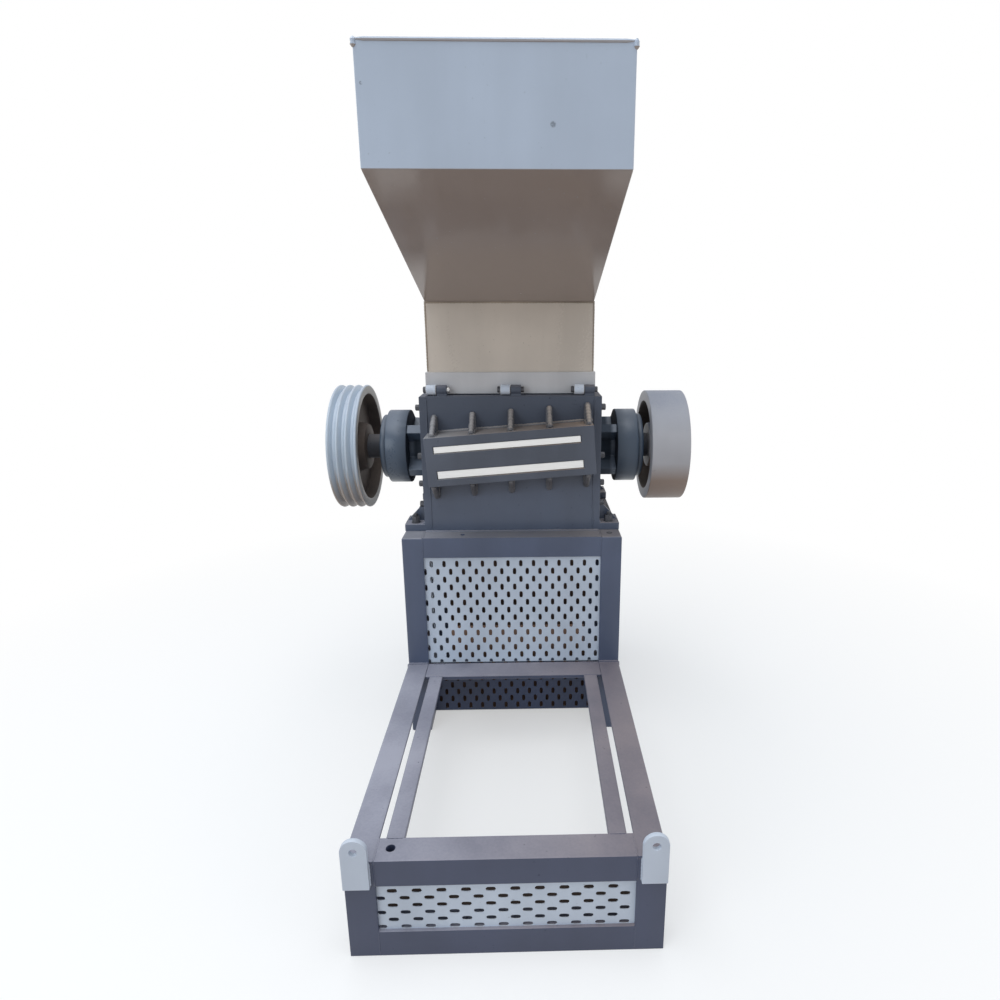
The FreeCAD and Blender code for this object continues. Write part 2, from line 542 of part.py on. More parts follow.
# Every piece must be one valid solid before it is written out.
doc.recompute()
for obj in doc.Objects:
    if "Invalid" in obj.State or "Error" in obj.State:
        raise RuntimeError(f"{obj.Label} failed: {obj.State}")
for obj in pieces:
    shape = obj.Shape
    if shape.isNull() or not shape.isValid() or len(shape.Solids) != 1:
        raise RuntimeError(f"{obj.Label} is not one valid solid")
for obj in pieces:
    obj.Shape.exportStep(f"parts/{obj.Label}.step")
print(len(pieces), "pieces written")
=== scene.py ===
"""The look of a plastic grinder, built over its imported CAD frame."""
import math
import random

import bmesh
import bpy
from mathutils import Matrix, Vector


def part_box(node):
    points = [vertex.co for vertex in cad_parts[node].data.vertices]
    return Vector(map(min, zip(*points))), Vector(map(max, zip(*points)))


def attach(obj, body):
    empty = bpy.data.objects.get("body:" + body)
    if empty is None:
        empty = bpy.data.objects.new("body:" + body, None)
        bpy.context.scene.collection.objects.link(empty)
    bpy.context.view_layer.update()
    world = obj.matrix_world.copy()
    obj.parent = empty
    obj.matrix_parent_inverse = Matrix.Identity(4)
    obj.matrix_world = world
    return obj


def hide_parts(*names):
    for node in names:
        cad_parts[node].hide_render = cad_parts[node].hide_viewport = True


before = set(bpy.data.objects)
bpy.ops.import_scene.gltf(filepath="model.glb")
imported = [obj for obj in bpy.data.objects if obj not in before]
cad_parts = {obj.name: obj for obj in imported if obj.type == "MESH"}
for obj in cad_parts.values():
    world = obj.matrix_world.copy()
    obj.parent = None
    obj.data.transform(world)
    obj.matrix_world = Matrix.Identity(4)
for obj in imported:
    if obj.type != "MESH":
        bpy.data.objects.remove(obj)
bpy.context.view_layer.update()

# The place where it stands: a wide pale floor that runs out to white, with a painted dark brown shadow
# where the machine's own sheets keep the light off. One large soft lamp hangs above, a second stands at
# the front left and a weak one at the right, and the camera is at a person's eye height in front of the
# base.
scene = bpy.context.scene
scene.view_settings.view_transform = "Standard"
world = bpy.data.worlds.new("sky")
world.use_nodes = True
scene.world = world
sky = world.node_tree
path = sky.nodes.new("ShaderNodeLightPath")
seen = path.outputs["Is Camera Ray"]
for kind in ("Is Glossy Ray", "Is Transmission Ray"):
    either = sky.nodes.new("ShaderNodeMath")
    either.operation = "MAXIMUM"
    sky.links.new(seen, either.inputs[0])
    sky.links.new(path.outputs[kind], either.inputs[1])
    seen = either.outputs[0]
open_sky = sky.nodes.new("ShaderNodeBackground")
open_sky.inputs["Color"].default_value = (0.83, 0.915, 1.0, 1)
open_sky.inputs["Strength"].default_value = 0.64
white = sky.nodes.new("ShaderNodeBackground")
white.inputs["Color"].default_value = (1, 1, 1, 1)
choice = sky.nodes.new("ShaderNodeMixShader")
for number, output in enumerate((seen, open_sky.outputs[0], white.outputs[0])):
    sky.links.new(output, choice.inputs[number])
sky.links.new(choice.outputs[0], sky.nodes["World Output"].inputs["Surface"])


class Field:
    """A value or colour inside a finish; arithmetic on it adds the nodes that work it out."""

    def __init__(self, finish, socket):
        self.finish = finish
        self.socket = socket

    def maths(self, operation, a, b=0.0):
        return self.finish.node("Math", {"operation": operation}, {0: a, 1: b})

    def __add__(self, other):
        return self.maths("ADD", self, other)

    __radd__ = __add__

    def __sub__(self, other):
        return self.maths("SUBTRACT", self, other)

    def __rsub__(self, other):
        return self.maths("SUBTRACT", other, self)

    def __mul__(self, other):
        return self.maths("MULTIPLY", self, other)

    def __pow__(self, other):
        return self.maths("POWER", self, other)

    def __neg__(self):
        return self.maths("MULTIPLY", self, -1.0)

    def size(self):
        return self.maths("ABSOLUTE", self)

    def clip(self):
        return self.finish.node("Clamp", {}, {"Value": self})


class Finish:
    """A material: one shader, its plain settings, and the nodes behind what varies over the surface."""

    def __init__(self, name, **plain):
        self.material = bpy.data.materials.new(name)
        self.material.use_nodes = True
        self.tree = self.material.node_tree
        self.shader = self.tree.nodes["Principled BSDF"]
        for key, value in plain.items():
            self.shader.inputs[key.replace("_", " ")].default_value = value

    def node(self, kind, settings, values, output=0):
        new = self.tree.nodes.new("ShaderNode" + kind)
        for key, value in settings.items():
            setattr(new, key, value)
        for key, value in values.items():
            if isinstance(value, Field):
                self.tree.links.new(value.socket, new.inputs[key])
            elif new.inputs[key].type == "RGBA":
                new.inputs[key].default_value = (*value, 1)
            else:
                new.inputs[key].default_value = value
        return Field(self, new.outputs[output])

    def place(self):
        """Where a point lies on the machine, in metres, whatever pose it is in."""
        return self.node("TexCoord", {}, {}, "Object")

    def ray(self, kind):
        return self.node("LightPath", {}, {}, kind)

    def near(self, point, size):
        """One at a spot of this size, nothing outside it."""
        away = self.node("VectorMath", {"operation": "DISTANCE"}, {0: self.place(), 1: point}, "Value")
        return ((size - away) * (3.0 / size)).clip()

    def along(self, axis, what="Object"):
        """One coordinate of the point, or of its normal."""
        return self.node("SeparateXYZ", {}, {0: self.node("TexCoord", {}, {}, what)}, axis)

    def noise(self, scale, detail, stretch=None):
        place = self.place()
        if stretch:
            place = self.node("Mapping", {}, {"Vector": place, "Scale": stretch})
        return self.node("TexNoise", {}, {"Vector": place, "Scale": scale, "Detail": detail})

    def blend(self, amount, low, high):
        return self.node("Mix", {"data_type": "RGBA"}, {0: amount, 6: low, 7: high}, 2)

    def feed(self, **links):
        for key, value in links.items():
            self.tree.links.new(value.socket, self.shader.inputs[key.replace("_", " ")])

    def relief(self, height, depth):
        self.feed(Normal=self.node("Bump", {}, {"Height": height, "Distance": depth, "Strength": 1.0}))


paving = Finish("pale_floor", Roughness=0.95, Specular_IOR_Level=0.0, Emission_Strength=1.0)
looked = paving.ray("Is Camera Ray") + paving.ray("Is Glossy Ray") + paving.ray("Is Transmission Ray")
reach = (paving.along("X") ** 2 + paving.along("Y") ** 2) ** 0.5
far = ((reach - 0.9) * 0.5).clip()
wide, deep = paving.along("X").size(), paving.along("Y")
inside = ((0.366 - wide) * 35.0).clip()
# Painted shadow mask: the floor under the pedestal, reaching past its back, and a strip behind the base's
# front sheet.
under = inside * (((deep - 0.230) * 40.0).clip() * ((1.035 - deep) * 22.0).clip()
                  + ((0.125 - (deep + 0.67).size()) * 25.0).clip())
glow = (far * 0.5 + 0.5) * (1.0 - under)
# Painted shadow: near black behind the base's front sheet, dark brown under the pedestal.
painted_floor_shadow = paving.blend((deep * 5.0 + 1.0).clip(), (0.045, 0.034, 0.030), (0.17, 0.105, 0.078))
near_colour = paving.blend(under, (0.90, 0.90, 0.90), painted_floor_shadow)
seen_colour = paving.blend(glow, near_colour, (0, 0, 0))
paving.feed(Base_Color=paving.blend(looked.clip(), (0.52, 0.43, 0.36), seen_colour),
            Emission_Color=paving.blend(looked.clip() * glow, (0, 0, 0), (1, 1, 1)))
floor_mesh = bpy.data.meshes.new("floor")
floor_mesh.from_pydata([(-60, -60, 0), (60, -60, 0), (60, 60, 0), (-60, 60, 0)], [], [(0, 1, 2, 3)])
floor_mesh.materials.append(paving.material)
floor = bpy.data.objects.new("floor", floor_mesh)
scene.collection.objects.link(floor)

lamps = (("lamp_above", (-0.6, -0.6, 5.2), (0, 0, 0.6), 4.2, 146, (0.97, 0.985, 1.0)),
         ("lamp_front", (-3.4, -4.2, 2.6), (0, 0, 1.0), 3.0, 70, (0.86, 0.94, 1.0)),
         ("lamp_right", (4.2, -2.6, 2.2), (0, 0, 1.0), 3.0, 22, (1.0, 0.96, 0.92)))
for name, place, target, width, watts, tint in lamps:
    lamp = bpy.data.lights.new(name, "AREA")
    lamp.size = width
    lamp.energy = watts
    lamp.color = tint
    holder = bpy.data.objects.new(name, lamp)
    holder.location = place
    holder.rotation_euler = (Vector(target) - Vector(place)).to_track_quat("-Z", "Y").to_euler()
    scene.collection.objects.link(holder)

lens = bpy.data.cameras.new("camera")
lens.lens = 24.01
lens.sensor_width = 36
lens.shift_x = -0.0457
lens.shift_y = -0.010
camera = bpy.data.objects.new("camera", lens)
camera.location = (0.061, -2.073, 1.507)
camera.rotation_euler = (math.radians(90 - 14.98), math.radians(0.07), math.radians(-1.47))
scene.collection.objects.link(camera)
scene.camera = camera


# The motor base: square tube and angle, arc-welded, ground at the corners and sprayed with slate enamel.
# Yard dust lies on everything that faces up; its colour is partly painted sky light.
def shade(colour, by):
    return tuple(min(1.0, c * by) for c in colour)


def enamel(name, colour, dust_and_sky, amount, rough, peel=0.00012, spread=0.12, underside_shade_and_reflection=None, marks=(),
           painted_shade=None):
    """Sprayed enamel: cloudy tone, runs and orange peel, and dust on what faces up, whose colour is partly
    painted sky light. Two dust colours blend from the machine's left end to its right as painted light,
    bluish from the sky at the left and browner at the right. The tone for what faces down is painted
    shade and ground reflection, marks are chipped spots, and the shade mask gives the places painted
    darker as shade."""
    paint = Finish(name)
    clouds = paint.noise(4.0, 5.0)
    streaks = paint.noise(7.0, 4.0, (1.0, 1.0, 0.16))
    fine = paint.noise(160.0, 2.0)
    tone = paint.blend(((clouds + streaks - 1.0) * 2.2 + 0.5).clip(), shade(colour, 1 - spread),
                       shade(colour, 1 + spread))
    faces = paint.along("Z", "Normal")
    patches = (clouds - 0.5) * 1.2 + streaks * 0.3 + fine * 0.25 + amount - 0.25
    cover = (((faces - 0.35) * 2.0).clip() * patches).clip()
    # Painted light: where two dust colours are given, they blend from bluish at the left to browner at the
    # right.
    if isinstance(dust_and_sky[0], tuple):
        dust_and_sky = paint.blend((paint.along("X") * 1.5 + 0.5).clip(), *dust_and_sky)
    tone = paint.blend(cover, tone, dust_and_sky)
    # Painted shade and ground reflection: what faces down takes the given tone.
    if underside_shade_and_reflection:
        tone = paint.blend(((-faces - 0.15) * 3.0).clip() * 0.85, tone, underside_shade_and_reflection)
    specks_and_shade = ((paint.noise(95.0, 1.0) - 0.72) * 14.0).clip() * ((clouds - 0.45) * 6.0).clip()
    for point, size in marks:
        specks_and_shade = specks_and_shade + paint.near(point, size) * ((fine - 0.35) * 6.0).clip() * 1.6
    # Painted shade: the shade mask darkens the enamel like the dark specks.
    if painted_shade:
        specks_and_shade = specks_and_shade + painted_shade(paint) * 2.0
    sheen = rough + cover * 0.3 + specks_and_shade * 0.25 + (streaks - 0.5) * 0.22 + (fine - 0.5) * 0.08
    paint.feed(Base_Color=paint.blend((specks_and_shade * 0.5).clip(), tone, shade(colour, 0.35)),
               Roughness=sheen.clip())
    paint.relief(fine * 0.6 + clouds * 2.0, peel)
    return paint


def beam_shade(paint):
    """Painted shade on the low beam of the base, behind its front sheet."""
    on_beam = ((0.053 - (paint.along("Y") + 0.733).size()) * 60.0).clip()
    return on_beam * ((0.085 - paint.along("Z")) * 60.0).clip()


# Painted shade: the base's copy of the slate enamel is darker than the pedestal's.
slate = enamel("slate_enamel_shaded", (0.051, 0.062, 0.110), ((0.36, 0.36, 0.425), (0.265, 0.225, 0.235)),
               0.74, 0.36, painted_shade=beam_shade)


def dress(node, finish, width, steps, merge=True):
    """A CAD node gets its finish, and its edges the small round that grinding and paint leave. Its flat
    faces are merged first, except on thin rims, where the round would cover a gap."""
    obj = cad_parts[node]
    obj.data.materials.clear()
    obj.data.materials.append(finish.material)
    weld = obj.modifiers.new("close", "WELD")
    weld.merge_threshold = 0.00002
    if merge:
        flat = obj.modifiers.new("flat", "DECIMATE")
        flat.decimate_type = "DISSOLVE"
        flat.angle_limit = math.radians(0.6)
    edge = obj.modifiers.new("edges", "BEVEL")
    edge.width = width
    edge.segments = steps
    edge.limit_method = "ANGLE"
    edge.angle_limit = math.radians(35)


def made(name, bm, finish, body, soft=35):
    """The finished piece from its mesh, smooth where its faces meet at less than the soft angle."""
    bmesh.ops.recalc_face_normals(bm, faces=bm.faces)
    for face in bm.faces:
        face.smooth = True
    for edge in bm.edges:
        edge.smooth = len(edge.link_faces) == 2 and edge.calc_face_angle(0) < math.radians(soft)
    mesh = bpy.data.meshes.new(name)
    bm.to_mesh(mesh)
    bm.free()
    for each in finish if isinstance(finish, list) else [finish]:
        mesh.materials.append(each.material)
    obj = bpy.data.objects.new(name, mesh)
    scene.collection.objects.link(obj)
    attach(obj, body)
    return obj


def skin(bm, rings):
    """Quads between each ring of points and the next."""
    return [bm.faces.new((low[j], low[(j + 1) % len(low)], high[(j + 1) % len(low)], high[j]))
            for low, high in zip(rings, rings[1:]) for j in range(len(low))]


def bead(bm, start, end, radius, seed, step=0.0035, rough=0.22):
    """A run of weld from start to end, with the ripples that each drop leaves."""
    chance = random.Random(seed)
    start, end = Vector(start), Vector(end)
    run = end - start
    count = max(3, int(run.length / step))
    side = run.orthogonal().normalized()
    other = run.normalized().cross(side)
    rings = []
    drift = 0.0
    for i in range(count + 1):
        drift = 0.7 * drift + chance.uniform(-1, 1) * 0.3
        swell = radius * (1 + rough * math.sin(i * 2.1) * 0.5 + rough * drift)
        if i in (0, count):
            swell *= 0.45
        middle = start + run * (i / count)
        rings.append([bm.verts.new(middle + swell * (math.cos(a) * side + math.sin(a) * other))
                      for a in (j * math.pi / 4 for j in range(8))])
    skin(bm, rings)
    bm.faces.new(rings[0])
    bm.faces.new(rings[-1])


dress("front_frame", slate, 0.005, 3)
for side in ("left", "right"):
    dress(f"side_rail_{side}", slate, 0.0028, 2)
dress("motor_bed", slate, 0.0018, 1)

tube = 0.072
low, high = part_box("front_frame")
edge_in, beam_y = high.x - tube, low.y + tube
base_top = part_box("side_rail_left")[1].z
ped_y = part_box("pedestal_side_left")[0].y
seams = bmesh.new()
for side in (-1, 1):
    x, out = side * edge_in, side * high.x
    front, back, stay, z = low.y + 0.0012, ped_y - 0.0005, ped_y - 0.09, base_top - 0.0005
    runs = (((x, low.y + 0.004, base_top - 0.0016), (x, beam_y, base_top - 0.0016), 0.0028),
            ((x, front, base_top - 0.003), (x, front, base_top - 0.07), 0.0026),
            ((x, front, 0.074), (x, front, 0.006), 0.0022),
            ((x, back, base_top), (out, back, base_top), 0.0042),
            ((out, back, base_top), (out, back, base_top - 0.07), 0.0038),
            ((x - side * 0.016, stay, z), (x - side * 0.061, stay, z), 0.0024))
    for seed, run in enumerate(runs, 1):
        bead(seams, *run, seed)
    for y in (beam_y, ped_y - 0.006):
        bead(seams, (x - side * 0.018, y, base_top - 0.001), (x - side * 0.059, y, base_top - 0.001),
             0.0034, 7)
made("base_welds", seams, slate, "machine")

# Lifting lugs: flame-cut plates with a drilled eye, painted pale. They are fillet-welded to the front of
# the frame, along both sides and the foot.
pale = enamel("pale_enamel", (0.53, 0.59, 0.69), (0.66, 0.67, 0.70), 0.35, 0.42, spread=0.07)
lug_welds = bmesh.new()
for side in ("left", "right"):
    dress(f"lifting_lug_{side}", pale, 0.002, 2)
    low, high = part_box(f"lifting_lug_{side}")
    for x in (low.x + 0.001, high.x - 0.001):
        bead(lug_welds, (x, high.y, low.z), (x, high.y, base_top - 0.004), 0.0028, 8)
    bead(lug_welds, (low.x, high.y, low.z), (high.x, high.y, low.z), 0.005, 9)
made("lug_welds", lug_welds, pale, "machine")

# The pedestal: the same square tube, arc-welded into two side frames. A beam at the top front, one at
# the top back and a low rail at the back join them. Its copy of the slate enamel is painted lighter than
# the base's, as painted light.
slate_lit = enamel("slate_pedestal_lit", (0.076, 0.096, 0.155), ((0.31, 0.31, 0.34), (0.24, 0.21, 0.20)),
                    0.72, 0.36)
for side in ("left", "right"):
    dress(f"pedestal_side_{side}", slate_lit, 0.005, 3)
for node in ("pedestal_beam_front", "pedestal_beam_back", "pedestal_back_rail"):
    dress(node, slate_lit, 0.004, 3)
seams = bmesh.new()
low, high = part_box("pedestal_beam_front")
back_low, back_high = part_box("pedestal_beam_back")
rail_low, rail_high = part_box("pedestal_back_rail")
for side in (-1, 1):
    x = side * high.x
    runs = (((x, low.y + 0.004, high.z - 0.0014), (x, high.y, high.z - 0.0014), 0.0028),
            ((x, low.y + 0.001, high.z - 0.004), (x, low.y + 0.001, low.z), 0.0026),
            ((x, back_low.y, back_high.z - 0.0014), (x, back_high.y, back_high.z - 0.0014), 0.0028),
            ((x, back_high.y - 0.001, back_high.z), (x, back_high.y - 0.001, back_low.z), 0.0028),
            ((x, rail_high.y - 0.001, rail_high.z), (x, rail_high.y - 0.001, rail_low.z), 0.0034))
    for seed, run in enumerate(runs, 11):
        bead(seams, *run, seed)
made("pedestal_welds", seams, slate_lit, "machine")

# Perforated sheets: 2 mm punched steel with staggered round-ended slots, painted pale and tacked into
# the frame's openings, and a slate one low down behind, painted darker as shade. Slots stand upright on
# the pedestal and lie flat on the base. The plate that leads the flakes out at the back hangs behind
# them, dark brown as painted shade seen through the slots, with dust on it.
sheet_paint = enamel("sheet_enamel", (0.51, 0.575, 0.675), (0.6, 0.6, 0.6), 0.4, 0.38, spread=0.10)
# Painted shade: the low sheet's slate is darker than the frame's.
low_sheet_shaded = enamel("low_sheet_enamel_shaded", (0.030, 0.045, 0.096), (0.12, 0.12, 0.14), 0.4, 0.40, spread=0.2)
# Painted shade: the chute's dark brown is the shade seen through the slots, with dust on it.
chute_shade_paint = enamel("chute_enamel_shaded", (0.15, 0.092, 0.067), (0.36, 0.235, 0.18), 0.9, 0.6, spread=0.35)
dress("flake_chute", chute_shade_paint, 0.001, 1)


def slot_edge(angle, half, radius):
    """How far the slot's edge is from its middle in one direction; its straight sides are twice half."""
    across, along = abs(math.cos(angle)), abs(math.sin(angle))
    if across > 1e-6 and radius / across * along <= half:
        return radius / across
    return along * half + math.sqrt(radius ** 2 - (across * half) ** 2)


def cell_edge(share, low, high):
    """How far a line whose direction has this share of one axis runs before it leaves the cell."""
    if abs(share) < 1e-9:
        return math.inf
    return (high if share > 0 else low) / share


def punched(node, finish, across, along, pitch, slot, start):
    """A punched sheet in place of the node, made of one cell round each slot. The slots run along one
    axis, every other line of them shifted by half a step; pitch is the step across and along, slot the
    width and length, and start the first slot's middle, from the sheet's low edges."""
    thick = 0.002
    low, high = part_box(node)
    u, v = "xyz".index(across), "xyz".index(along)
    w = 3 - u - v
    middle = (low[w] + high[w]) / 2
    half, radius = (slot[1] - slot[0]) / 2, slot[0] / 2
    bm = bmesh.new()

    def ring(cu, cv, angles, reach, depth):
        verts = []
        for angle, r in zip(angles, reach):
            point = [0.0, 0.0, 0.0]
            point[u], point[v] = cu + r * math.cos(angle), cv + r * math.sin(angle)
            point[w] = middle + depth
            verts.append(bm.verts.new(point))
        return verts

    lines = int((high[u] - low[u] - start[0] - radius * 0.4) / pitch[0]) + 1
    for line in range(lines):
        cu = low[u] + start[0] + line * pitch[0]
        left = low[u] if line == 0 else cu - pitch[0] / 2
        right = high[u] if line == lines - 1 else cu + pitch[0] / 2
        first = low[v] + start[1] + (pitch[1] / 2 if line % 2 else 0.0)
        if first - pitch[1] > low[v] - half * 0.4:
            first -= pitch[1]
        count = int((high[v] + half * 0.4 - first) / pitch[1]) + 1
        for k in range(count):
            cv = first + k * pitch[1]
            bottom = low[v] if k == 0 else cv - pitch[1] / 2
            top = high[v] if k == count - 1 else cv + pitch[1] / 2
            cv_in = min(max(cv, low[v] + 0.0005), high[v] - 0.0005)
            corners = [math.atan2(y - cv_in, x - cu) % math.tau
                       for x in (left, right) for y in (bottom, top)]
            angles = sorted(corners + [j * math.pi / 6 + 0.1 for j in range(12)])
            outer = [min(cell_edge(math.cos(a), left - cu, right - cu),
                         cell_edge(math.sin(a), bottom - cv_in, top - cv_in)) for a in angles]
            inner = [min(slot_edge(a, half, radius), r) for a, r in zip(angles, outer)]
            skin(bm, [ring(cu, cv_in, angles, reach, depth) for reach, depth in
                      ((outer, -thick / 2), (inner, -thick / 2), (inner, thick / 2), (outer, thick / 2))])
    bmesh.ops.remove_doubles(bm, verts=bm.verts, dist=2e-6)
    piece = made(node + "_sheet", bm, finish, "machine", 30)
    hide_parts(node)


punched("pedestal_front_panel", sheet_paint, "x", "z", (0.0223, 0.0586), (0.0120, 0.0245),
        (0.0025, -0.0010))
punched("pedestal_low_panel", low_sheet_shaded, "x", "z", (0.0223, 0.058), (0.0115, 0.025), (0.0065, 0.0200))
punched("front_vent_panel", sheet_paint, "z", "x", (0.0211, 0.0584), (0.0118, 0.0255), (0.0060, 0.0070))
for side in ("left", "right"):
    punched(f"pedestal_side_panel_{side}", sheet_paint, "y", "z", (0.0223, 0.058), (0.0115, 0.025),
            (0.0110, 0.0150))

# The cutting chamber: 25 mm flame-cut side plates with welded feet, and front and back walls between
# them, all in the same slate enamel. Hex bolts hold the walls, and a stud and nut hold each foot.
axis_y, axis_z = 0.446, 1.012


def from_axis(paint):
    """How far a point is from the line that the rotor turns on."""
    return ((paint.along("Y") - axis_y) ** 2 + (paint.along("Z") - axis_z) ** 2) ** 0.5


def chamber_shade(paint):
    """Painted shade that deepens towards the hopper above, and on the side plate round each bearing."""
    high_up = ((paint.along("Z") - 0.86) * 3.2).clip() * 0.50
    on_plate = ((paint.along("X").size() - 0.306) * 300.0).clip()
    return high_up + ((0.124 - from_axis(paint)) * 60.0).clip() * on_plate


slate_chamber = enamel("slate_chamber", (0.078, 0.096, 0.140), ((0.31, 0.31, 0.36), (0.25, 0.22, 0.22)),
                       0.72, 0.36, painted_shade=chamber_shade)
for side in ("left", "right"):
    dress(f"chamber_side_{side}", slate_chamber, 0.002, 2, False)
dress("chamber_wall_front", slate_chamber, 0.0025, 2)
dress("chamber_wall_back", slate_chamber, 0.0025, 2)


def bare(name, metallic, grain, dark, light, vary, rough):
    """A surface without paint: one grain takes it from dark to light and from smooth to rough."""
    finish = Finish(name, Metallic=metallic)
    marks = finish.noise(*grain)
    finish.feed(Base_Color=finish.blend(marks, dark, light), Roughness=marks * vary + rough)
    return finish, marks


bolt_steel, wear = bare("bolt_steel", 0.4, (220.0, 3.0), (0.030, 0.034, 0.045), (0.11, 0.11, 0.12),
                        0.4, 0.3)
bolt_steel.relief(wear, 0.0003)


def turned(bm, outline, at, axis, count, caps=True):
    """A turned shape: its outline as (height along the axis, radius) points, from one end to the other."""
    turn = Vector((0, 0, 1)).rotation_difference(Vector(axis)).to_matrix()
    around = [k * 2 * math.pi / count for k in range(count)]
    rings = [[bm.verts.new(Vector(at) + turn @ Vector((r * math.cos(a), r * math.sin(a), h)))
              for a in around] for h, r in outline]
    new = skin(bm, rings)
    if caps:
        new += [bm.faces.new(rings[0]), bm.faces.new(rings[-1])]
    return new


def hex_bolt(bm, at, axis, width, seed, nut=False):
    """A washer and a chamfered hex head, or a nut with the end of its stud, standing on a face."""
    at, axis = Vector(at), Vector(axis).normalized()
    washer, disc = width * 0.12, width * 0.62
    turned(bm, [(-0.001, disc), (washer * 0.8, disc), (washer, width * 0.58), (washer, 0.001)],
           at, axis, 20)
    turn = Matrix.Rotation(random.Random(seed).uniform(0, math.pi / 3), 3, axis) @ \
        Vector((0, 0, 1)).rotation_difference(axis).to_matrix()
    flat, top = width / 2 / math.cos(math.pi / 6), washer + width * (0.8 if nut else 0.62)
    levels = ((washer, flat), (top - width * 0.1, flat), (top, flat * 0.84), (top, 0.001))
    skin(bm, [[bm.verts.new(at + turn @ Vector((r * math.cos(a), r * math.sin(a), h)))
               for a in (k * math.pi / 3 for k in range(6))] for h, r in levels])
    if nut:
        stud = width * 0.3
        coils = [(top + k * width * 0.045, stud * (1.0 if k % 2 else 0.88)) for k in range(9)]
        end = coils[-1][0] + 0.0008
        turned(bm, coils + [(end, stud * 0.7), (end, 0.0005)], at, axis, 14)


side_low, side_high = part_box("chamber_side_left")
ped_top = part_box("pedestal_beam_front")[1].z
plate_x, foot_x, foot_top = 0.310, 0.344, ped_top + 0.025
bolts = bmesh.new()
for side in (-1, 1):
    for y in (side_low.y + 0.014, side_high.y - 0.014):
        for seed, z in enumerate((1.192, 1.024, 0.926, 0.852)):
            hex_bolt(bolts, (side * plate_x, y, z), (side, 0, 0), 0.019, seed)
    for y in (side_low.y + 0.024, side_high.y - 0.024):
        hex_bolt(bolts, (side * foot_x, y, foot_top), (0, 0, 1), 0.026, 5, True)
made("chamber_bolts", bolts, bolt_steel, "machine")
socket_screw = bmesh.new()
turned(socket_screw, [(-0.002, 0.010), (0.0004, 0.010), (0.0008, 0.0092), (0.0008, 0.0052),
                      (-0.001, 0.0050), (-0.001, 0.0004)], (0.341, 0.149, ped_top), (0, 0, 1), 24, False)
made("pedestal_socket_screw", socket_screw, bolt_steel, "machine")

wall_x, wall_top, rows = 0.285, 1.222, (0.002, 0.006)
seams = bmesh.new()
for side in (-1, 1):
    for y in (side_low.y - 0.0002, side_high.y + 0.0002):
        bead(seams, (side * wall_x, y, ped_top + 0.012), (side * wall_x, y, wall_top), 0.0026, 21, 0.004)
    x, z = side * (plate_x + 0.0005), foot_top + 0.0005
    bead(seams, (x, side_low.y + 0.004, z), (x, side_high.y - 0.004, z), 0.0055, 22)
for y in [side_low.y - row for row in rows] + [side_high.y + row for row in rows]:
    bead(seams, (0.001 - plate_x, y, ped_top - 0.0015), (plate_x - 0.001, y, ped_top - 0.0015),
         0.0042, 23, 0.006)
made("chamber_welds", seams, slate_chamber, "machine")

# The knife beds: heavy fabricated blocks that slope across the front and back, with two slots and five
# ribs above and below. The ribs are stick-welded all round and the shelf between them holds tan dust.
cast = enamel("knife_bed_enamel", (0.072, 0.084, 0.114), ((0.25, 0.26, 0.28), (0.37, 0.265, 0.195)),
              0.90, 0.45, 0.0004, 0.16)
rib_weld = enamel("rib_weld", (0.125, 0.125, 0.138), ((0.31, 0.315, 0.335), (0.42, 0.345, 0.285)),
                  0.95, 0.5, 0.0012, 0.35)
for end in ("front", "back"):
    dress(f"knife_bed_{end}", cast, 0.0035, 2)


def bead_off(bm, wall, start, stop, *rest):
    """A bead on a wall, given as its y and which way is out; the bead's ends are (x, how far out, z)."""
    bead(bm, *((x, wall[0] + wall[1] * away, z) for x, away, z in (start, stop)), *rest)


rib_pitch, rib_half = 0.130, 0.0065
bed_middle, bed_end, shelf_half = 1.044, 0.280, 0.083
slope = math.tan(math.radians(4.3))
for end, wall in (("front", (side_low.y, -1)), ("back", (side_high.y, 1))):
    welds = bmesh.new()
    for k in range(5):
        x = (k - 2) * rib_pitch
        middle = bed_middle + slope * x
        top, foot = middle + shelf_half, middle - shelf_half
        for dx in (-rib_half, rib_half):
            bead_off(welds, wall, (x + dx, 0.003, top), (x + dx * 0.9, 0.005, top + 0.058), 0.0052, k)
            bead_off(welds, wall, (x + dx, 0.004, top), (x + dx, 0.088, top), 0.0052, k + 40)
            bead_off(welds, wall, (x + dx, 0.003, foot), (x + dx * 0.9, 0.005, foot - 0.062), 0.005, k)
            bead_off(welds, wall, (x + dx, 0.004, foot), (x + dx, 0.085, foot), 0.005, k + 50)
        bead_off(welds, wall, (x, 0.005, top + 0.057), (x, 0.089, top + 0.001), 0.0094, k + 60,
                 0.005, 0.36)
        bead_off(welds, wall, (x, 0.005, foot - 0.060), (x, 0.088, foot - 0.002), 0.0088, k + 80,
                 0.005, 0.2)
    for z, radius, seed in ((bed_middle + shelf_half, 0.007, 70), (bed_middle - shelf_half, 0.006, 71)):
        bead_off(welds, wall, (-bed_end, 0.0, z - slope * bed_end), (bed_end, 0.0, z + slope * bed_end),
                 radius, seed)
    made(f"knife_bed_{end}_welds", welds, rib_weld, "machine", 80)

# The bed knives: bright ground tool steel in the upper slot, and the ground bar that clamps them in the
# lower one.
ground, lines = bare("ground_steel", 0.9, (30.0, 6.0, (1.0, 40.0, 40.0)), (0.62, 0.62, 0.62),
                     (0.86, 0.86, 0.85), 0.2, 0.22)
ground.relief(lines, 0.0001)
for end in ("front", "back"):
    dress(f"bed_knife_{end}", ground, 0.001, 1)
    dress(f"clamp_bar_{end}", ground, 0.001, 1)

